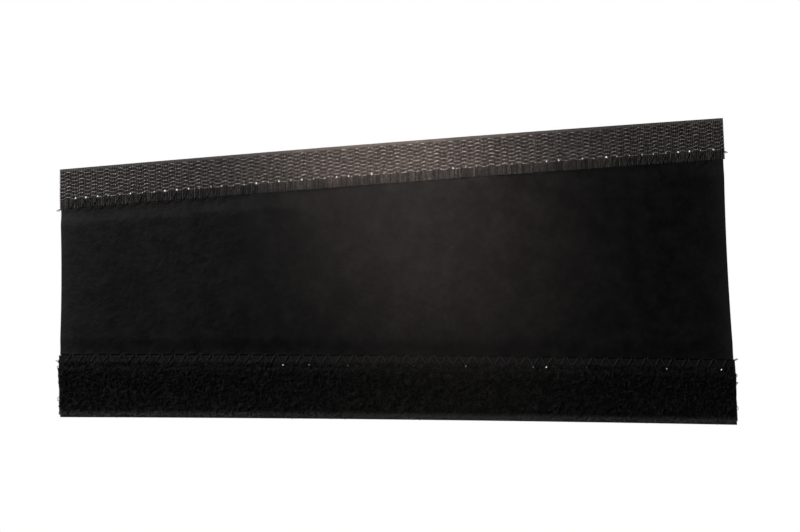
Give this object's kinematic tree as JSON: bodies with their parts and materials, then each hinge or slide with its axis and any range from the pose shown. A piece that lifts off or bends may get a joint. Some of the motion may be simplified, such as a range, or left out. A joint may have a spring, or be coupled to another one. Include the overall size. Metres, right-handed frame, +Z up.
{
  "type": "chainstay protector",
  "caption": "Tapered neoprene sheet that wraps round a bicycle chainstay and closes along its length with a hook tape and a loop tape, each zigzag-sewn to a long edge.",
  "frame": {"origin": "middle of the part's box, on the surface that the flat part lies on", "axes": "+X along the loop tape towards the wide end, +Y across the sheet towards the hook tape, +Z up out of the front face"},
  "size_m": [0.2684, 0.119, 0.0035],
  "materials": {
    "neoprene": "black nylon jersey laminated to foam neoprene, matt",
    "hook_tape": "black woven nylon with clear monofilament hooks, slightly shiny yarns",
    "loop_tape": "black brushed nylon loop pile, matt",
    "thread": "black twisted polyester, satin"
  },
  "bodies": {
    "root": {"neoprene_panel": "neoprene", "hook_tape": "hook_tape", "loop_tape": "loop_tape", "hook_seam_needle_thread": "thread", "hook_seam_bobbin_thread": "thread", "loop_seam_needle_thread": "thread", "loop_seam_bobbin_thread": "thread"}
  },
  "joints": []
}
